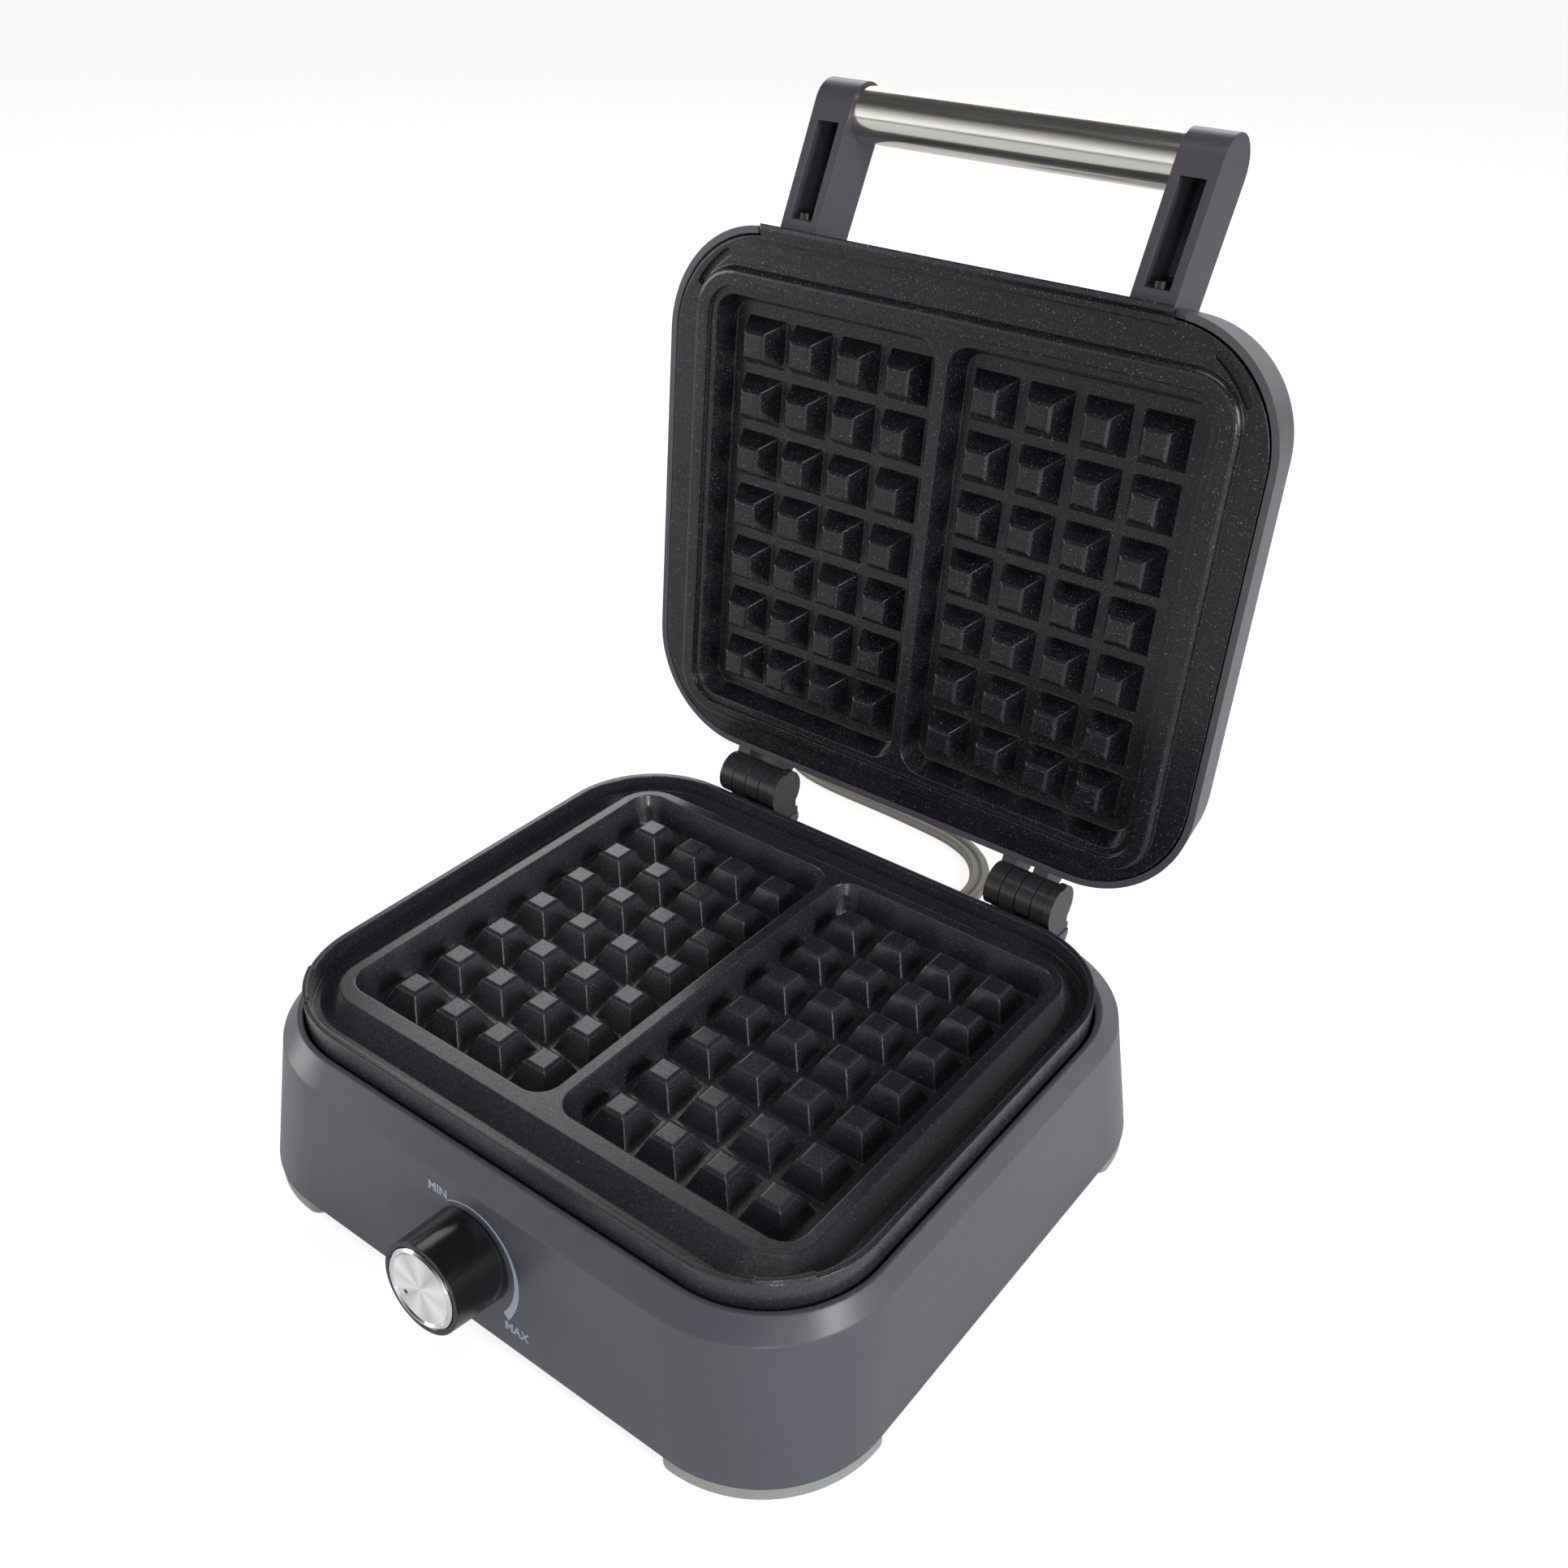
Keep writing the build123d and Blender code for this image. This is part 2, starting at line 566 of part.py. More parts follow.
# Lugs that stand on the upper plate's rim, along the lid's walls, for the screws of arms and hinges
LUGS = [(sx * (TUBE_HALF + ARM_W / 2), 12, LID_FRONT + WALL, -88) for sx in (-1, 1)]
LUGS += [(hinge_x + 2.0, 21, LID_BACK - WALL, 86) for hinge_x in HINGE_X]
with BuildPart() as upper_lugs:
    for lug_x, width, wall, inner in LUGS:
        with BuildSketch(lid_side(lug_x - width / 2)) as outline:
            with BuildLine():
                Polyline(
                    (inner, 83), (lid_wall_y(wall, 83), 83), (lid_wall_y(wall, LUG_TOP_Z), LUG_TOP_Z),
                    (inner, LUG_TOP_Z), close=True,
                )
            make_face()
        extrude(outline.sketch, amount=width)
    lid_holes(ARM_SCREWS, SCREW_R + 0.03, LID_FRONT, 13)
    lid_holes(LEAF_SCREWS, SCREW_R + 0.03, 87.5, 13)

# Upper plate: flat rim, round bead, two waffle hollows, pouring lip and lugs for the screws
with BuildPart() as upper_plate:
    oblong_block(LID.offset(LID_BOTTOM_Z), UPPER_X, UPPER_FRONT, UPPER_BACK, UPPER_R, 4, taper=LID_DRAFT)
    oblong_block(LID.offset(LID_BOTTOM_Z), 103, -85, 85, 18, UPPER_FLOOR_Z + PLATE_T - LID_BOTTOM_Z)
    oblong_block(LID.offset(BEAD_Z), 107.5, -89, 88, 18, LID_BOTTOM_Z - BEAD_Z)
    fillet(upper_plate.faces().sort_by(Axis(LID_ORIGIN, LID_Z_DIR))[0].edges(), 2.2)
    oblong_block(LID.offset(BEAD_Z), 101, -82.5, 82.5, 12, UPPER_LAND_Z - BEAD_Z, Mode.SUBTRACT)
    cells_from(LID, UPPER_LAND_Z, UPPER_FLOOR_Z - UPPER_LAND_Z, False)
    studs_on(LID, UPPER_FLOOR_Z, False)
    with BuildSketch(lid_side(-80)):
        with BuildLine():
            Polyline((-99, 80.9), (-102.2, 80.7), (-104.6, 79.7), (-104.9, 78.3), (-103.0, 78.0), (-101.2, 79.0),
                     (-99, 79.0), close=True)
        make_face()
    extrude(amount=158.5)
    for sx in (-1, 1):
        with BuildSketch(LID.offset(LID_BOTTOM_Z)):
            with BuildLine():
                slot = CenterArc((sx * (PLATE_X - PLATE_R), PLATE_FRONT + PLATE_R), PLATE_R - LIP_T / 2 - 4,
                                 -45 - 14 if sx > 0 else -135 - 14, 28)
            SlotArc(slot, 2.6)
        extrude(amount=1.6, mode=Mode.SUBTRACT)
    add(upper_lugs.part)
    with BuildSketch(LID.offset(UPPER_FLOOR_Z + PLATE_T - 1)):
        with Locations((0, -40), (0, 40)):
            Circle(4)
    extrude(amount=1 + 2 * ELEMENT_R)
    with BuildSketch(LID.offset(UPPER_FLOOR_Z + PLATE_T)):
        with Locations((0, -40), (0, 40)):
            Circle(1.53)
    extrude(amount=2 * ELEMENT_R, mode=Mode.SUBTRACT)
finish(upper_plate, "upper_plate")

ELEMENT_UP_Z = UPPER_FLOOR_Z + PLATE_T + ELEMENT_R
with BuildPart() as upper_heating_element:
    element(LID, ELEMENT_UP_Z, 82, 58)
finish(upper_heating_element, "upper_heating_element")

with BuildPart() as upper_reflector:
    oblong_block(LID.offset(ELEMENT_UP_Z + ELEMENT_R), 90, -66, 66, 12, 0.8)
    with BuildSketch(LID.offset(ELEMENT_UP_Z)):
        with Locations((0, -40), (0, 40)):
            Circle(1.9)
    extrude(amount=10, mode=Mode.SUBTRACT)
finish(upper_reflector, "upper_reflector")

with BuildPart() as upper_reflector_screws:
    with BuildSketch(LID.offset(ELEMENT_UP_Z + ELEMENT_R + 0.8)):
        with Locations((0, -40), (0, 40)):
            Circle(2.8)
    extrude(amount=1.8)
    with BuildSketch(LID.offset(ELEMENT_UP_Z - 2)):
        with Locations((0, -40), (0, 40)):
            Circle(1.5)
    extrude(amount=ELEMENT_R + 4)
finish(upper_reflector_screws, "upper_reflector_screws")

with BuildPart() as hinge_leaf_screws:
    lid_holes(LEAF_SCREWS, SMALL_HEAD_R, LID_BACK + LEAF_T, HEAD_H, Mode.ADD)
    lid_holes(LEAF_SCREWS, SCREW_R, 88.5, LID_BACK + LEAF_T + 0.5 - 88.5, Mode.ADD)
finish(hinge_leaf_screws, "hinge_leaf_screws")


def handle_arm(x):
    """Handle arm from x over its width: a channel open underneath, with a blind seat for the tube."""
    with BuildSketch(lid_side(x)) as outline:
        with Locations((TUBE_Y, TUBE_Z)):
            Circle(ARM_R)
        with Locations((-98, 93)):
            Rectangle(2, 20)
        make_hull()
    extrude(outline.sketch, amount=ARM_W)
    with BuildSketch(lid_side(x + ARM_WALL)) as outline:
        with BuildLine():
            Polyline((-138, 80), (-138, 114.8), (LID_FRONT - ARM_WALL, 102.5), (LID_FRONT - ARM_WALL, 80), close=True)
        make_face()
    extrude(outline.sketch, amount=ARM_W - 2 * ARM_WALL, mode=Mode.SUBTRACT)
    seat_x = x if x > 0 else x + ARM_W - TUBE_SEAT
    with BuildSketch(lid_side(seat_x)) as outline:
        with Locations((TUBE_Y, TUBE_Z)):
            Circle(TUBE_R + 0.02)
    extrude(outline.sketch, amount=TUBE_SEAT, mode=Mode.SUBTRACT)
    add(lid_shape.part, mode=Mode.SUBTRACT)
    lid_holes([(x + ARM_W / 2, -z) for z in ARM_SCREWS_Z], SCREW_R + SCREW_CLEAR, LID_FRONT - 6, 10)


for side, x in (("left", -TUBE_HALF - ARM_W), ("right", TUBE_HALF)):
    with BuildPart() as arm:
        handle_arm(x)
    finish(arm, f"handle_arm_{side}")

with BuildPart() as handle_tube:
    with BuildSketch(lid_side(-TUBE_HALF - TUBE_SEAT)):
        with Locations((TUBE_Y, TUBE_Z)):
            Circle(TUBE_R)
            Circle(TUBE_R - TUBE_WALL, mode=Mode.SUBTRACT)
    extrude(amount=2 * (TUBE_HALF + TUBE_SEAT))
finish(handle_tube, "handle_tube")

with BuildPart() as handle_screws:
    lid_holes(ARM_SCREWS, SMALL_HEAD_R, LID_FRONT - ARM_WALL - HEAD_H, HEAD_H, Mode.ADD)
    lid_holes(ARM_SCREWS, SCREW_R, LID_FRONT - ARM_WALL - 0.5, 15, Mode.ADD)
finish(handle_screws, "handle_screws")

# Knob: hollow black body, bright ring and a turned cap, on the thermostat's shaft
with BuildPart() as knob_body:
    knob_disc(KNOB_R, KNOB_GAP, KNOB_L - KNOB_GAP, taper=2.0)
    knob_disc(10.5, KNOB_GAP, 6.5, Mode.SUBTRACT)
    knob_disc(SHAFT_R, KNOB_GAP, 14, Mode.SUBTRACT)
    knob_disc(14.2, KNOB_L - 1.6, 5, Mode.SUBTRACT)
    chamfer(knob_body.edges().filter_by(GeomType.CIRCLE).sort_by(Axis(KNOB.origin, KNOB.z_dir))[-1], 0.6)
finish(knob_body, "knob_body")

with BuildPart() as knob_ring:
    knob_disc(14.2, KNOB_L - 1.6, 2.4)
    knob_disc(12.3, KNOB_L - 2, 6, Mode.SUBTRACT)
    chamfer(knob_ring.faces().sort_by(Axis(KNOB.origin, KNOB.z_dir))[-1].edges(), 0.7)
finish(knob_ring, "knob_ring")

with BuildPart() as knob_cap:
    knob_disc(12.3, KNOB_L - 1.6, 1.9)
finish(knob_cap, "knob_cap")

with BuildPart() as thermostat_shaft:
    knob_disc(SHAFT_R, -WALL_DEEP - 10, WALL_DEEP + 10 + KNOB_GAP + 14)
finish(thermostat_shaft, "thermostat_shaft")

# Mains cord: a flat twin lead, lying flat on the table behind the base
CORD_WALL_Y = wall_at(CORD_EXIT_Z)[1]
CORD_EXIT_Y = CORD_WALL_Y + 12


def twin_section(origin, direction):
    """Sketch of the cord's two lobes, side by side, square to its direction."""
    across = Vector(0, 0, 1).cross(direction)
    with BuildSketch(Plane(origin=origin, x_dir=across, z_dir=direction)) as lobes:
        with Locations((-CORD_LOBE_X, 0), (CORD_LOBE_X, 0)):
            Circle(CORD_LOBE_R)
    return lobes.sketch


# Strain relief through the back wall
with BuildPart() as cord_grip:
    with BuildSketch(Plane.XZ.offset(-CORD_WALL_Y - 3)):
        with Locations((0, CORD_EXIT_Z)):
            RectangleRounded(17, 12, 3.0)
    extrude(amount=5)
    add(housing_form.part, mode=Mode.SUBTRACT)
    with BuildSketch(Plane.XZ.offset(-CORD_EXIT_Y)):
        with Locations((0, CORD_EXIT_Z)):
            RectangleRounded(13.2, 8.2, 3.0)
    extrude(amount=CORD_EXIT_Y - CORD_WALL_Y + WALL + 4)
finish(cord_grip, "cord_grip")

# The lead's route from the strain relief down to the table and round to the coil
ROUTE = [
    (0.0, CORD_EXIT_Y, CORD_EXIT_Z),
    (0.0, 150.0, CORD_EXIT_Z),
    (0.0, 172.0, CORD_Z),
    (0.0, 199.0, CORD_Z),
    (-20.0, 220.5, CORD_Z),
    (-62.0, 224.0, CORD_Z),
    (-100.0, 224.0, CORD_Z),
]
RADII = [24.0, 26.0, 28.0, 30.0, 60.0]

with BuildPart() as mains_cord:
    with BuildLine() as lead_line:
        FilletPolyline(*ROUTE, radius=RADII)
    lead = lead_line.wires()[0]
    sweep(twin_section(lead @ 0, lead % 0), path=lead)
finish(mains_cord, "mains_cord")

# The coil lies flat: half circles, each smaller by half a pitch, then a turn in to the plug
with BuildPart() as mains_cord_coil:
    with BuildLine(Plane.XY.offset(CORD_Z)) as coil_line:
        centre_y = ROUTE[-1][1] + COIL_R
        radius = COIL_R
        for half in range(COIL_HALVES):
            start = -90 if half % 2 == 0 else 90
            CenterArc((ROUTE[-1][0], centre_y), radius, start, -180)
            centre_y += COIL_PITCH / 2 if half % 2 == 0 else -COIL_PITCH / 2
            radius -= COIL_PITCH / 2
        bottom_y = ROUTE[-1][1] + COIL_PITCH * COIL_HALVES / 2
        turn = CenterArc((ROUTE[-1][0], bottom_y + COIL_TURN_R), COIL_TURN_R, -90, -COIL_TURN)
        Line(turn @ 1, (turn @ 1) + (turn % 1) * COIL_END)
    coil_path = coil_line.wires()[0]
    sweep(twin_section(Vector(*ROUTE[-1]), Vector(-1, 0, 0)), path=coil_path)
finish(mains_cord_coil, "mains_cord_coil")

# Plug with two flat blades, in the middle of the coil
PLUG = Plane(origin=coil_path @ 1, x_dir=Vector(0, 0, 1).cross(coil_path % 1), z_dir=coil_path % 1)
PLUG_MID = PLUG_H / 2 - CORD_Z
with BuildPart() as plug_body:
    with BuildSketch(PLUG):
        with Locations((0, PLUG_MID)):
            RectangleRounded(PLUG_W * 0.62, PLUG_H, 3)
    with BuildSketch(PLUG.offset(PLUG_L)):
        with Locations((0, PLUG_MID)):
            RectangleRounded(PLUG_W, PLUG_H, 3)
    loft()
finish(plug_body, "plug_body")

with BuildPart() as plug_blades:
    with BuildSketch(PLUG.offset(PLUG_L)):
        with Locations((-6.35, PLUG_MID), (6.35, PLUG_MID)):
            Rectangle(1.5, 6.3)
    extrude(amount=15)
finish(plug_blades, "plug_blades")


def print_cord_facts():
    """Print the corner radii, the section check and the coil's least gap to itself."""
    section = twin_section(lead @ 0, lead % 0).area
    print("lead corner radii", RADII)
    for title, path, solid in (("lead", lead, mains_cord.part), ("coil", coil_path, mains_cord_coil.part)):
        print(title, "length", round(path.length, 1), "volume over section x length",
              round(solid.volume / (section * path.length), 4))
    spots = [coil_path @ (i / 600) for i in range(601)]
    step = coil_path.length / 600
    apart = [
        (spots[i] - spots[j]).length
        for i in range(601) for j in range(i) if (i - j) * step > 4 * COIL_TURN_R
    ]
    print("coil least gap to itself", round(min(apart) - 2 * (CORD_LOBE_X + CORD_LOBE_R), 2))
    print("cord length in all", round(lead.length + coil_path.length, 1))


print_cord_facts()
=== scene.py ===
from math import cos, pi, radians, sin

import bpy
from mathutils import Matrix, Vector


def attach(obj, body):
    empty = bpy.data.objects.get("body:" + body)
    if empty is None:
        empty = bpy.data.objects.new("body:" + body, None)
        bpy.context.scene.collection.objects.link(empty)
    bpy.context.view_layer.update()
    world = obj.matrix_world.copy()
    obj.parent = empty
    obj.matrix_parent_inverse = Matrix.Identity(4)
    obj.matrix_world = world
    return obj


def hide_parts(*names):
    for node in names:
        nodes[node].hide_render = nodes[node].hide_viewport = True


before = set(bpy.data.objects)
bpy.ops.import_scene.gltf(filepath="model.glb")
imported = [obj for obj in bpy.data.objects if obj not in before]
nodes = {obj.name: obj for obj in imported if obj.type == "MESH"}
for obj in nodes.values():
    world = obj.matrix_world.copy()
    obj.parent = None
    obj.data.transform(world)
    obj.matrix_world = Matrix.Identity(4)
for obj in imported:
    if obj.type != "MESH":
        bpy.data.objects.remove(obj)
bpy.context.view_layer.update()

# Lengths are in metres, and MM turns millimetres into them
MM = 0.001

# The sizes below run from the middle of the studs, and the frame's origin lies this far behind it
FRAME_Y = 18.26 * MM

# The camera, solved from the studs of both plates
CAM_PLACE = (0.2748, -0.34016, 0.4202)
CAM_AZIMUTH = 36.98
CAM_ELEVATION = 35.42
CAM_ROLL = 0.96
CAM_LENS = 35.58
CAM_SENSOR = 36
CAM_SHIFT = (0.00186, 0.0559)

# The front wall leans back, and the knob stands square on it
WALL_TILT = radians(7.3523)
RIGHT = Vector((1, 0, 0))
UP_WALL = Vector((0, sin(WALL_TILT), cos(WALL_TILT)))
OUT = Vector((0, -cos(WALL_TILT), sin(WALL_TILT)))
KNOB_AXIS = Vector((-1.0 * MM, -116.4 * MM - FRAME_Y, 34.2 * MM))
CAP_OUT = 20.9 * MM

# Nearly all of Blender's noise lies between these two values
NOISE_LOW = 0.3
NOISE_HIGH = 0.7
BEVEL_SAMPLES = 6

# Sockets that share a name on the Mix node: the two values of a plain mix, then of a colour mix
MIX_A = 2
MIX_B = 3
MIX_COLOUR_A = 6
MIX_COLOUR_B = 7
MIXED_COLOUR = 2


class Shader:
    """A material's node tree, with short names for what the materials use."""

    def __init__(self, name):
        self.mat = bpy.data.materials.new(name)
        self.mat.use_nodes = True
        self.tree = self.mat.node_tree
        self.tree.nodes.clear()
        surface = self.tree.nodes.new("ShaderNodeOutputMaterial").inputs["Surface"]
        self.bsdf = self.tree.nodes.new("ShaderNodeBsdfPrincipled")
        self.link(self.bsdf.outputs[0], surface)
        self.place = self.tree.nodes.new("ShaderNodeTexCoord").outputs["Object"]

    def link(self, output, target):
        """Join an output to an input, or to the main shader's input of that name."""
        if isinstance(target, str):
            target = self.bsdf.inputs[target]
        self.tree.links.new(output, target)

    def node(self, kind, **values):
        """A new node with its properties set."""
        made = self.tree.nodes.new(kind)
        for key, value in values.items():
            setattr(made, key, value)
        return made

    def set(self, **values):
        """Constants on the main shader's inputs."""
        for key, value in values.items():
            self.bsdf.inputs[key.replace("_", " ")].default_value = value

    def mapping(self, vector, **values):
        """A vector moved, turned or stretched."""
        made = self.node("ShaderNodeMapping")
        for key, value in values.items():
            made.inputs[key].default_value = value
        self.link(vector, made.inputs["Vector"])
        return made.outputs[0]

    def noise(self, scale, detail, stretch=(1, 1, 1)):
        """Noise with this many features per metre."""
        made = self.node("ShaderNodeTexNoise")
        made.inputs["Scale"].default_value = scale
        made.inputs["Detail"].default_value = detail
        self.link(self.mapping(self.place, Scale=stretch), made.inputs["Vector"])
        return made.outputs[0]

    def span(self, value, low, high, out_low, out_high):
        """A value mapped from one range to another, clamped."""
        made = self.node("ShaderNodeMapRange")
        for index, number in enumerate((low, high, out_low, out_high)):
            made.inputs[index + 1].default_value = number
        self.link(value, made.inputs[0])
        return made.outputs[0]

    def spread(self, noise, out_low=0, out_high=1):
        """Noise spread over a range."""
        return self.span(noise, NOISE_LOW, NOISE_HIGH, out_low, out_high)

    def mix(self, factor, a, b):
        """Two colours mixed by a factor, each given as a colour or as an output."""
        made = self.node("ShaderNodeMix", data_type="RGBA")
        self.link(factor, made.inputs[0])
        for index, colour in ((MIX_COLOUR_A, a), (MIX_COLOUR_B, b)):
            if isinstance(colour, tuple):
                made.inputs[index].default_value = (*colour, 1)
            else:
                self.link(colour, made.inputs[index])
        return made.outputs[MIXED_COLOUR]

    def soft_edges(self, radius):
        """Normals that round each edge off by a radius."""
        made = self.node("ShaderNodeBevel", samples=BEVEL_SAMPLES)
        made.inputs["Radius"].default_value = radius
        return made.outputs[0]

    def bump(self, height, strength, depth, edge=0.0):
        """Bump, over normals softened at the edges where edge is a radius."""
        made = self.node("ShaderNodeBump")
        made.inputs["Strength"].default_value = strength
        made.inputs["Distance"].default_value = depth
        self.link(height, made.inputs["Height"])
        if edge:
            self.link(self.soft_edges(edge), made.inputs["Normal"])
        self.link(made.outputs[0], "Normal")


def moulded(name, dark, pale, rough, grain=1400, strength=0.12, edge=0.4 * MM):
    """Moulded plastic or paint with a fine grain and faint clouding."""
    s = Shader(name)
    clouds = s.noise(scale=14, detail=3)
    smears = s.noise(scale=60, detail=4)
    grains = s.noise(scale=grain, detail=2)
    s.link(s.mix(s.spread(clouds), dark, pale), "Base Color")
    s.link(s.spread(smears, rough - 0.015, rough + 0.02), "Roughness")
    s.bump(grains, strength, depth=0.1 * MM, edge=edge)
    return s.mat


# Flecks in the coating: their colour, and the noise above which one begins and is full
FLECK = (0.22, 0.22, 0.23)
FLECK_START = 0.68
FLECK_FULL = 0.75


def coated(name, dark, pale, rough, flecks, sheen, edge=0.9 * MM):
    """Non-stick coating: near black, a soft sheen, and fine bright flecks."""
    s = Shader(name)
    clouds = s.noise(scale=30, detail=3)
    specks = s.noise(scale=2200, detail=1)
    smears = s.noise(scale=900, detail=2)
    grains = s.noise(scale=1100, detail=3)
    body = s.mix(s.spread(clouds), dark, pale)
    s.link(s.mix(s.span(specks, FLECK_START, FLECK_FULL, 0, flecks), body, FLECK), "Base Color")
    s.link(s.spread(smears, rough - 0.06, rough + 0.08), "Roughness")
    s.set(Specular_IOR_Level=sheen, Coat_Weight=0.35, Coat_Roughness=0.16)
    s.link(s.soft_edges(edge), "Coat Normal")
    s.bump(grains, strength=0.22, depth=0.12 * MM, edge=edge)
    return s.mat


def metal(name, colour, rough, brush=0.0, stretch=(1, 1, 1), grain=300):
    """Bare metal whose roughness and grain run along one way."""
    s = Shader(name)
    s.set(Metallic=1.0)
    streak = s.noise(grain, detail=3, stretch=stretch)
    pale = tuple(min(1.0, level * 1.06) for level in colour)
    s.link(s.mix(s.spread(streak), colour, pale), "Base Color")
    s.link(s.spread(streak, rough * 0.8, rough * 1.25), "Roughness")
    s.bump(streak, brush, depth=0.05 * MM)
    return s.mat


# Painted sheen on the knob's cap, streaks of light and dark: share of the way round and brightness,
# and how much bluer they are
CAP_PAINTED_SHEEN = [
    (0.0, 0.78), (0.06, 0.95), (0.13, 0.62), (0.22, 0.92), (0.30, 0.66), (0.42, 1.0), (0.5, 0.8),
    (0.58, 0.98), (0.66, 0.6), (0.76, 0.92), (0.85, 0.66), (0.94, 1.0), (1.0, 0.78),
]
CAP_BLUE = 1.01
CAP_RINGS = 900


def spun_cap(name):
    """Turned aluminium: fine rings, and painted streaks of light and dark in the colour where the
    turning would throw its sheen.
    """
    s = Shader(name)
    from_axis = s.mapping(s.place, Location=-KNOB_AXIS)
    turned = s.mapping(from_axis, Rotation=(WALL_TILT - radians(90), 0, 0))
    angle = s.node("ShaderNodeTexGradient", gradient_type="RADIAL")
    s.link(turned, angle.inputs["Vector"])
    painted_streaks = s.node("ShaderNodeValToRGB")
    first, *between, last = CAP_PAINTED_SHEEN
    ends = painted_streaks.color_ramp.elements
    ends[0].color = (first[1], first[1], first[1], 1)
    ends[1].color = (last[1], last[1], last[1], 1)
    for place, level in between:
        ends.new(place).color = (level, level, level * CAP_BLUE, 1)
    s.link(angle.outputs[0], painted_streaks.inputs[0])
    # Painted highlight: the streaks of light and dark go into the cap's base colour
    s.link(painted_streaks.outputs[0], "Base Color")
    s.set(Roughness=0.42, Metallic=0.6)
    rings = s.node("ShaderNodeTexWave", wave_type="RINGS", rings_direction="SPHERICAL")
    rings.inputs["Scale"].default_value = CAP_RINGS
    s.link(turned, rings.inputs["Vector"])
    s.bump(rings.outputs[1], strength=0.10, depth=0.03 * MM)
    return s.mat


def dress(material, *names):
    """Give CAD nodes a material."""
    for name in names:
        slots = nodes[name].data.materials
        if len(slots) == 0:
            slots.append(material)
        for index in range(len(slots)):
            slots[index] = material


HOUSING = moulded("housing_paint", (0.066, 0.066, 0.082), (0.075, 0.075, 0.092), rough=0.34,
                  edge=1.2 * MM)
LID_PAINT = moulded("lid_paint", (0.056, 0.055, 0.065), (0.064, 0.063, 0.074), rough=0.36)
HANDLE = moulded("handle_plastic", (0.050, 0.048, 0.058), (0.058, 0.056, 0.068), rough=0.34)
HINGE_BLACK = moulded("hinge_plastic", (0.018, 0.018, 0.022), (0.024, 0.024, 0.029), rough=0.26)
UNDER = moulded("cover_plastic", (0.030, 0.030, 0.034), (0.036, 0.036, 0.040), rough=0.6)
FOOT = moulded("foot_rubber", (0.25, 0.25, 0.25), (0.30, 0.30, 0.29), rough=0.7)
CERAMIC = moulded("ceramic", (0.72, 0.70, 0.64), (0.78, 0.76, 0.70), rough=0.5)
GRIP = moulded("grip_rubber", (0.014, 0.014, 0.014), (0.02, 0.02, 0.02), rough=0.6)
KNOB_BLACK = moulded("knob_plastic", (0.006, 0.006, 0.008), (0.009, 0.009, 0.011), rough=0.16,
                     strength=0.02)
CORD = moulded("cord_jacket", (0.19, 0.185, 0.155), (0.235, 0.225, 0.195), rough=0.42,
               grain=700, edge=0)
# Both plates carry one coating: the lower plate's colour is painted lighter and the upper plate's
# darker, as painted light and shade
LOWER_LIT_COATING = coated("lower_coating_painted_lit", (0.016, 0.016, 0.022), (0.023, 0.023, 0.031), rough=0.26,
               flecks=0.7, sheen=0.5)
UPPER_SHADED_COATING = coated("upper_coating_painted_shade", (0.005, 0.005, 0.008), (0.009, 0.009, 0.013), rough=0.28,
               flecks=1.0, sheen=0.3)
TUBE = metal("tube_steel", (0.74, 0.72, 0.67), rough=0.17, brush=0.02, stretch=(1, 60, 60),
             grain=25)
STEEL = metal("screw_steel", (0.55, 0.55, 0.56), rough=0.3, brush=0.05)
BLACKENED = metal("blackened_steel", (0.05, 0.048, 0.05), rough=0.35)
SHEET = metal("sheet_aluminium", (0.72, 0.72, 0.73), rough=0.35, brush=0.05, stretch=(1, 20, 20))
SHEATH = metal("sheath_steel", (0.24, 0.22, 0.20), rough=0.5, brush=0.1)
CHROME = metal("ring_chrome", (0.80, 0.80, 0.82), rough=0.08)
BRASS = metal("blade_brass", (0.70, 0.58, 0.32), rough=0.25)

dress(HOUSING, "base_housing")
dress(UNDER, "bottom_cover")
dress(FOOT, "feet")
dress(LOWER_LIT_COATING, "lower_plate")
dress(UPPER_SHADED_COATING, "upper_plate")
dress(LID_PAINT, "lid_housing")
dress(HANDLE, "handle_arm_left", "handle_arm_right")
dress(TUBE, "handle_tube")
dress(HINGE_BLACK, "hinge_base_left", "hinge_base_right", "hinge_leaf_left", "hinge_leaf_right")
dress(STEEL, "reflector_screws", "base_screws", "thermostat_nut", "thermal_fuse", "hinge_base_screws",
      "hinge_pin_left", "hinge_pin_right", "upper_reflector_screws", "hinge_leaf_screws",
      "thermostat_shaft")
dress(BLACKENED, "handle_screws")
dress(SHEET, "lower_reflector", "upper_reflector")
dress(SHEATH, "lower_heating_element", "upper_heating_element")
dress(CERAMIC, "thermostat_body", "terminal_block")
dress(GRIP, "cord_grip")
dress(KNOB_BLACK, "knob_body")
dress(CHROME, "knob_ring")
dress(spun_cap("cap_aluminium"), "knob_cap")
dress(CORD, "plug_body")
dress(BRASS, "plug_blades")


# Printed scale beside the knob: an arc that widens from MIN to MAX, and the two words. Angles are
# in degrees from the right, and places run from the knob's axis.
PRINT = moulded("print_ink", (0.33, 0.38, 0.47), (0.38, 0.43, 0.52), rough=0.5, strength=0.02,
                edge=0)
PRINT_LIFT = 0.06 * MM
SCALE_START = 123
SCALE_END = -44.5
SCALE_R = 19.3 * MM
SCALE_GROWTH = 3.4 * MM
SCALE_THIN = 0.45 * MM
SCALE_THICK = 3.1 * MM
SCALE_STEPS = 48
WORD_SIZE = 4.9 * MM
WORD_THICKENED = 0.12 * MM
MIN_PLACE = (-14.8 * MM, 18.0 * MM)
MAX_PLACE = (21.0 * MM, -19.6 * MM)

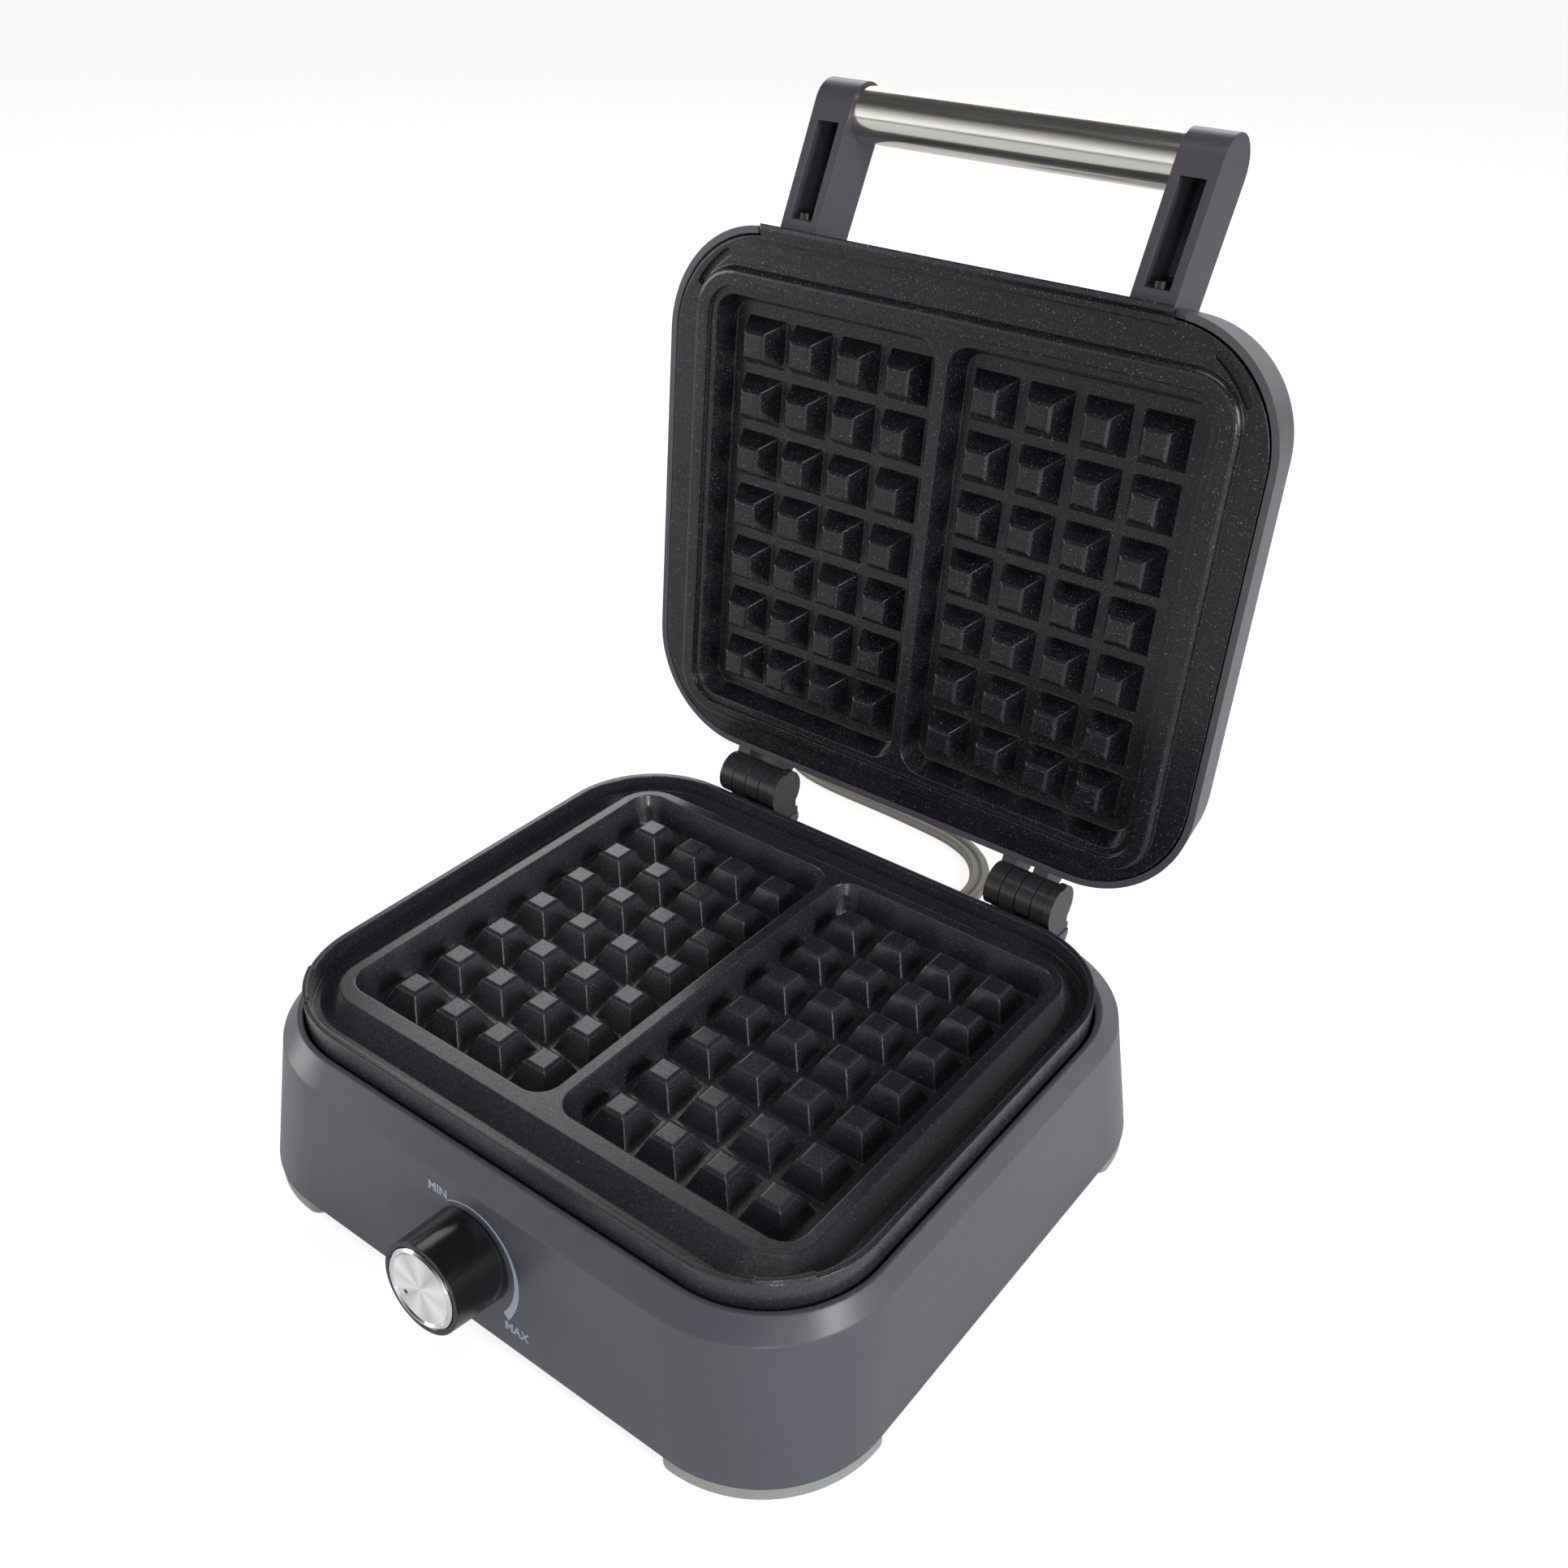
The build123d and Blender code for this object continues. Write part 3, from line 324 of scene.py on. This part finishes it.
# Dark mark on the knob's cap
DOT_AT = 218
DOT_FROM_AXIS = 8.4 * MM
DOT_R = 0.85 * MM
DOT_LIFT = 0.02 * MM
DOT_SIDES = 24


def on_wall(x, up, out=PRINT_LIFT):
    """A point off the front wall, from the knob's axis."""
    return KNOB_AXIS + RIGHT * x + UP_WALL * up + OUT * out


def place_piece(name, data, material, body):
    """A new piece that rides on a body and takes the given material."""
    data.materials.append(material)
    made = bpy.data.objects.new(name, data)
    bpy.context.collection.objects.link(made)
    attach(made, body)
    return made


def mesh_piece(name, verts, faces, material, body):
    """A piece made of points and faces."""
    data = bpy.data.meshes.new(name)
    data.from_pydata([tuple(v) for v in verts], [], faces)
    place_piece(name, data, material, body)


def printed_scale():
    """The tapered arc."""
    verts = []
    for i in range(SCALE_STEPS + 1):
        share = i / SCALE_STEPS
        angle = radians(SCALE_START + (SCALE_END - SCALE_START) * share)
        half = (SCALE_THIN + (SCALE_THICK - SCALE_THIN) * share ** 2) / 2
        middle = SCALE_R + SCALE_GROWTH * share ** 3
        for radius in (middle - half, middle + half):
            verts.append(on_wall(radius * cos(angle), radius * sin(angle)))
    faces = [(2 * i, 2 * i + 1, 2 * i + 3, 2 * i + 2) for i in range(SCALE_STEPS)]
    mesh_piece("scale_arc", verts, faces, PRINT, "base")


def printed_word(word, x, up):
    """A word on the front wall, centred at a place from the knob's axis."""
    name = "word_" + word.lower()
    text = bpy.data.curves.new(name, "FONT")
    text.body = word
    text.size = WORD_SIZE
    text.align_x = "CENTER"
    text.align_y = "CENTER"
    text.offset = WORD_THICKENED
    text.materials.append(PRINT)
    made = bpy.data.objects.new(name, text)
    made.rotation_euler = (radians(90) - WALL_TILT, 0, 0)
    made.location = on_wall(x, up)
    bpy.context.collection.objects.link(made)
    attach(made, "base")


def pointer_dot():
    """The small dark mark on the knob's cap."""
    x = DOT_FROM_AXIS * cos(radians(DOT_AT))
    up = DOT_FROM_AXIS * sin(radians(DOT_AT))
    verts = [on_wall(x, up, CAP_OUT + DOT_LIFT)]
    for i in range(DOT_SIDES):
        angle = 2 * pi * i / DOT_SIDES
        verts.append(on_wall(x + DOT_R * cos(angle), up + DOT_R * sin(angle), CAP_OUT + DOT_LIFT))
    faces = [(0, 1 + i, 1 + (i + 1) % DOT_SIDES) for i in range(DOT_SIDES)]
    mesh_piece("pointer_dot", verts, faces, KNOB_BLACK, "knob")


printed_scale()
printed_word("MIN", *MIN_PLACE)
printed_word("MAX", *MAX_PLACE)
pointer_dot()

# The cord: its route's points, then the coil's half circles, each as a few points of the same
# line. The coil winds inwards, ends in a tighter arc and runs straight into the plug.
CORD_LOBE_R = 2.4 * MM
CORD_LOBE_X = 2.3 * MM
CORD_LOBE_END = 154
CORD_LOBE_STEP = 22
CORD_Z = CORD_LOBE_R
ROUTE = [
    (0.0, 0.13049, 0.018),
    (0.0, 0.150, 0.018),
    (0.0, 0.172, CORD_Z),
    (0.0, 0.199, CORD_Z),
    (-0.020, 0.2205, CORD_Z),
    (-0.062, 0.224, CORD_Z),
]
COIL_START = Vector((-0.100, 0.224, CORD_Z))
COIL_R = 70 * MM
COIL_PITCH = 11 * MM
COIL_HALVES = 4
COIL_TURN_R = 32 * MM
COIL_TURN = 130
COIL_END = 12 * MM
POINTS_PER_HALF = 10
POINTS_PER_TURN = 5


def arc_points(centre, radius, start, turn, count):
    """Control points round a clockwise arc, outside it so that the line comes to its radius."""
    step = turn / count
    outside = radius / cos(radians(step / 2))
    angles = [radians(start - step * (i + 0.5)) for i in range(count)]
    return [centre + Vector((cos(a), sin(a), 0)) * outside for a in angles]


def coil_points():
    """Control points of the coil, of its tighter arc and of the run into the plug."""
    points = []
    centre = COIL_START + Vector((0, COIL_R, 0))
    radius = COIL_R
    for half in range(COIL_HALVES):
        away = half % 2 == 0
        points += arc_points(centre, radius, -90 if away else 90, 180, POINTS_PER_HALF)
        centre.y += COIL_PITCH / 2 if away else -COIL_PITCH / 2
        radius -= COIL_PITCH / 2
    middle = COIL_START + Vector((0, COIL_PITCH * COIL_HALVES / 2 + COIL_TURN_R, 0))
    points += arc_points(middle, COIL_TURN_R, -90, COIL_TURN, POINTS_PER_TURN)
    angle = radians(-90 - COIL_TURN)
    last = middle + Vector((cos(angle), sin(angle), 0)) * COIL_TURN_R
    points.append(last + Vector((sin(angle), -cos(angle), 0)) * COIL_END)
    return points


def cord_section():
    """The flat twin lead's section: two lobes side by side."""
    profile = bpy.data.curves.new("cord_section", "CURVE")
    profile.dimensions = "2D"
    ring = profile.splines.new("POLY")
    lobe = [radians(a) for a in range(-CORD_LOBE_END, CORD_LOBE_END + 1, CORD_LOBE_STEP)]
    right = [(CORD_LOBE_X + CORD_LOBE_R * cos(a), CORD_LOBE_R * sin(a)) for a in lobe]
    outline = right + [(-x, -y) for x, y in right]
    ring.points.add(len(outline) - 1)
    for point, (x, y) in zip(ring.points, outline):
        point.co = (x, y, 0, 1)
    ring.use_cyclic_u = True
    return bpy.data.objects.new("cord_section", profile)


def twin_cord():
    """The lead as one curve."""
    section = cord_section()
    curve = bpy.data.curves.new("mains_lead", "CURVE")
    curve.dimensions = "3D"
    curve.resolution_u = 8
    curve.twist_mode = "Z_UP"
    line = curve.splines.new("NURBS")
    points = [Vector(p) for p in ROUTE] + coil_points()
    line.points.add(len(points) - 1)
    for point, place in zip(line.points, points):
        point.co = (place.x, place.y - FRAME_Y, place.z, 1)
    line.order_u = 3
    line.use_endpoint_u = True
    curve.bevel_mode = "OBJECT"
    curve.bevel_object = section
    curve.use_fill_caps = True
    made = place_piece("mains_lead", curve, CORD, "base")
    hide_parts("mains_cord", "mains_cord_coil")


twin_cord()


# Studio: pale floor, soft lamps and a white world
WHITE = (1, 1, 1, 1)
FLOOR_HALF = 6
PAPER = (0.86, 0.86, 0.87)
PAPER_SEEN = (0.30, 0.30, 0.30)
PAPER_GLOW = 0.84
PAPER_ROUGH = 0.9

# The world's light falls from one strength to another as a ray's height goes from low to high, and
# the camera sees it white
SKY_HEIGHTS = (0.05, 0.62)
SKY_LEVELS = (1.15, 0.07)
SKY_SEEN = 1.0

# Each lamp's name, place, target, size and power in watts
MIDDLE = (0, 0, 0.1)
HANDLE_PLACE = (0, 0.14, 0.33)
LAMPS = [
    ("key", (1.7, -0.2, 0.8), MIDDLE, (0.5, 0.7), 18),
    ("low", (1.2, -1.25, 0.32), MIDDLE, (0.12, 0.16), 5),
    ("back", (-0.9, 1.3, 1.2), MIDDLE, (1.4, 0.9), 9),
    ("strip", (0.2, -0.5, 1.9), HANDLE_PLACE, (1.4, 0.25), 9),
    ("fill", (-1.6, -1.0, 0.5), MIDDLE, (0.8, 0.6), 9),
]


def floor_sheet():
    """Pale floor that reads white in the picture and stays plain in reflections."""
    half = FLOOR_HALF
    data = bpy.data.meshes.new("floor")
    data.from_pydata([(-half, -half, 0), (half, -half, 0), (half, half, 0), (-half, half, 0)],
                     [], [(0, 1, 2, 3)])
    s = Shader("floor_paper")
    seen = s.node("ShaderNodeLightPath").outputs["Is Camera Ray"]
    s.link(s.mix(seen, PAPER, PAPER_SEEN), "Base Color")
    glow = s.node("ShaderNodeMath", operation="MULTIPLY")
    glow.inputs[1].default_value = PAPER_GLOW
    s.link(seen, glow.inputs[0])
    s.link(glow.outputs[0], "Emission Strength")
    s.set(Roughness=PAPER_ROUGH, Emission_Color=WHITE)
    data.materials.append(s.mat)
    made = bpy.data.objects.new("floor", data)
    bpy.context.collection.objects.link(made)


def lamp(name, place, target, size, power):
    """Soft rectangular lamp that looks at a point."""
    data = bpy.data.lights.new(name, "AREA")
    data.shape = "RECTANGLE"
    data.size, data.size_y = size
    data.energy = power
    made = bpy.data.objects.new(name, data)
    made.location = place
    way = Vector(target) - Vector(place)
    made.rotation_euler = way.to_track_quat("-Z", "Y").to_euler()
    bpy.context.collection.objects.link(made)


def sky():
    """World light that is strong near the horizon and weak overhead."""
    world = bpy.data.worlds.new("studio")
    bpy.context.scene.world = world
    world.use_nodes = True
    tree = world.node_tree
    background = tree.nodes["Background"]
    path = tree.nodes.new("ShaderNodeLightPath")
    way = tree.nodes.new("ShaderNodeTexCoord")
    parts = tree.nodes.new("ShaderNodeSeparateXYZ")
    tree.links.new(way.outputs["Generated"], parts.inputs[0])
    light = tree.nodes.new("ShaderNodeMapRange")
    for index, number in enumerate(SKY_HEIGHTS + SKY_LEVELS):
        light.inputs[index + 1].default_value = number
    tree.links.new(parts.outputs["Z"], light.inputs[0])
    level = tree.nodes.new("ShaderNodeMix")
    tree.links.new(path.outputs["Is Camera Ray"], level.inputs[0])
    tree.links.new(light.outputs[0], level.inputs[MIX_A])
    level.inputs[MIX_B].default_value = SKY_SEEN
    tree.links.new(level.outputs[0], background.inputs["Strength"])
    background.inputs["Color"].default_value = WHITE


def camera():
    """The photo's camera."""
    az, el, roll = (radians(a) for a in (CAM_AZIMUTH, CAM_ELEVATION, CAM_ROLL))
    back = Vector((sin(az) * cos(el), -cos(az) * cos(el), sin(el)))
    right = Vector((0, 0, 1)).cross(back).normalized()
    up = back.cross(right)
    right, up = right * cos(roll) + up * sin(roll), up * cos(roll) - right * sin(roll)
    data = bpy.data.cameras.new("camera")
    data.sensor_width = CAM_SENSOR
    data.lens = CAM_LENS
    data.shift_x, data.shift_y = CAM_SHIFT
    made = bpy.data.objects.new("camera", data)
    turn = Matrix((right, up, back)).transposed()
    made.matrix_world = Matrix.Translation(CAM_PLACE) @ turn.to_4x4()
    bpy.context.collection.objects.link(made)
    bpy.context.scene.camera = made


floor_sheet()
sky()
for row in LAMPS:
    lamp(*row)
camera()
bpy.context.scene.view_settings.view_transform = "Standard"
